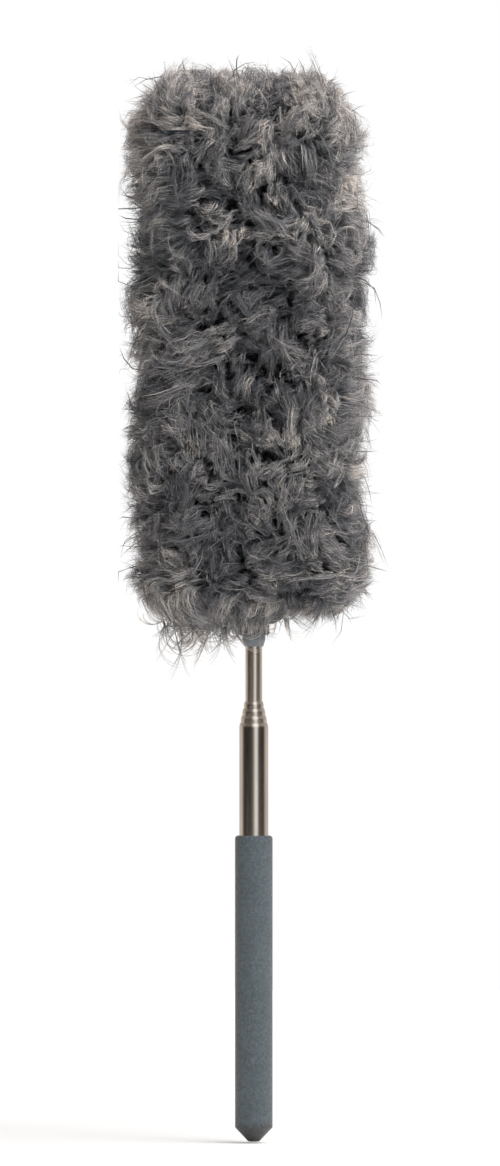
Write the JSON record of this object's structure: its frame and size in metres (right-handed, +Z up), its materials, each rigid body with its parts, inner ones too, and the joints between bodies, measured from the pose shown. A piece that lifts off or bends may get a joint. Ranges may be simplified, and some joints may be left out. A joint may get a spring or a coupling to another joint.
{
  "type": "extendable duster",
  "caption": "Hand-held duster with a long-pile microfibre head on a friction-held telescopic steel pole with a plain rubber grip; the pole draws out and the head turns.",
  "frame": {"origin": "on the pole's axis, in the middle of the grip's straight wall", "axes": "+Z up the pole from the grip to the head, +X across the head's width, +Y through its thickness, away from the camera"},
  "size_m": [0.153, 0.101, 0.7025],
  "materials": {
    "grip_rubber": "matt, fine grain",
    "pole_steel": "polished",
    "nylon": "moulded",
    "spring_steel": "blued",
    "socket_plastic": "satin",
    "frame_wire": "drawn",
    "foam": "open-cell foam",
    "backing_knit": "warp knit",
    "elastic": "covered elastic",
    "pile_fibre": "long microfibre pile"
  },
  "bodies": {
    "handle": {"grip": "grip_rubber", "butt_plug": "nylon", "section_1_tube": "pole_steel", "mouth_ring_1": "nylon"},
    "section_2": {"section_2_tube": "pole_steel", "slide_bush_2": "nylon", "friction_ring_2": "spring_steel", "mouth_ring_2": "nylon"},
    "section_3": {"section_3_tube": "pole_steel", "slide_bush_3": "nylon", "friction_ring_3": "spring_steel", "mouth_ring_3": "nylon"},
    "section_4": {"section_4_tube": "pole_steel", "slide_bush_4": "nylon", "friction_ring_4": "spring_steel", "mouth_ring_4": "nylon"},
    "section_5": {"section_5_tube": "pole_steel", "slide_bush_5": "nylon", "friction_ring_5": "spring_steel", "pole_tip": "nylon"},
    "head": {"head_socket": "socket_plastic", "wire_frame": "frame_wire", "foam_front": "foam", "foam_back": "foam", "sleeve_backing": "backing_knit", "sleeve_cuff": "backing_knit", "cuff_elastic": "elastic", "pile": "pile_fibre"}
  },
  "joints": [
    {"name": "section_2_slide", "type": "slide", "parent": "handle", "child": "section_2", "axis": [0, 0, 1], "range_m": [0, 0.2314]},
    {"name": "section_3_slide", "type": "slide", "parent": "section_2", "child": "section_3", "axis": [0, 0, 1], "range_m": [0, 0.2191]},
    {"name": "section_4_slide", "type": "slide", "parent": "section_3", "child": "section_4", "axis": [0, 0, 1], "range_m": [0, 0.2068]},
    {"name": "section_5_slide", "type": "slide", "parent": "section_4", "child": "section_5", "axis": [0, 0, 1], "range_m": [0, 0.1945]},
    {"name": "head_turn", "type": "hinge", "parent": "section_5", "child": "head", "pos_m": [0, 0, 0.2189], "axis": [0, 0, 1], "continuous": true}
  ]
}
